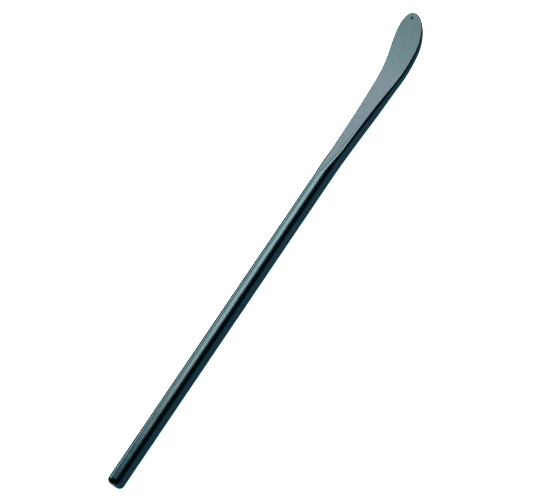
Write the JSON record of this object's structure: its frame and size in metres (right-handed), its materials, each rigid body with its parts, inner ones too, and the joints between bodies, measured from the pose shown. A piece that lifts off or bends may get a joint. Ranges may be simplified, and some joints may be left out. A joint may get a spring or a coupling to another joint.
{
  "type": "pry bar",
  "caption": "Straight round steel lever bar with a rounded butt and a spoon-shaped end: a flat face that widens and curves up to a thin round tip.",
  "frame": {"origin": "centre of the flat on the butt end, on the axis of the round shank", "axes": "+X along the shank from the butt to the spoon, +Z out of the flat face of the spoon, so the bar lies on its back"},
  "size_m": [0.6096, 0.043, 0.0332],
  "materials": {
    "dark_steel": "satin blue-black paint over forged steel"
  },
  "bodies": {
    "root": {"shank": "dark_steel", "spoon": "dark_steel"}
  },
  "joints": []
}
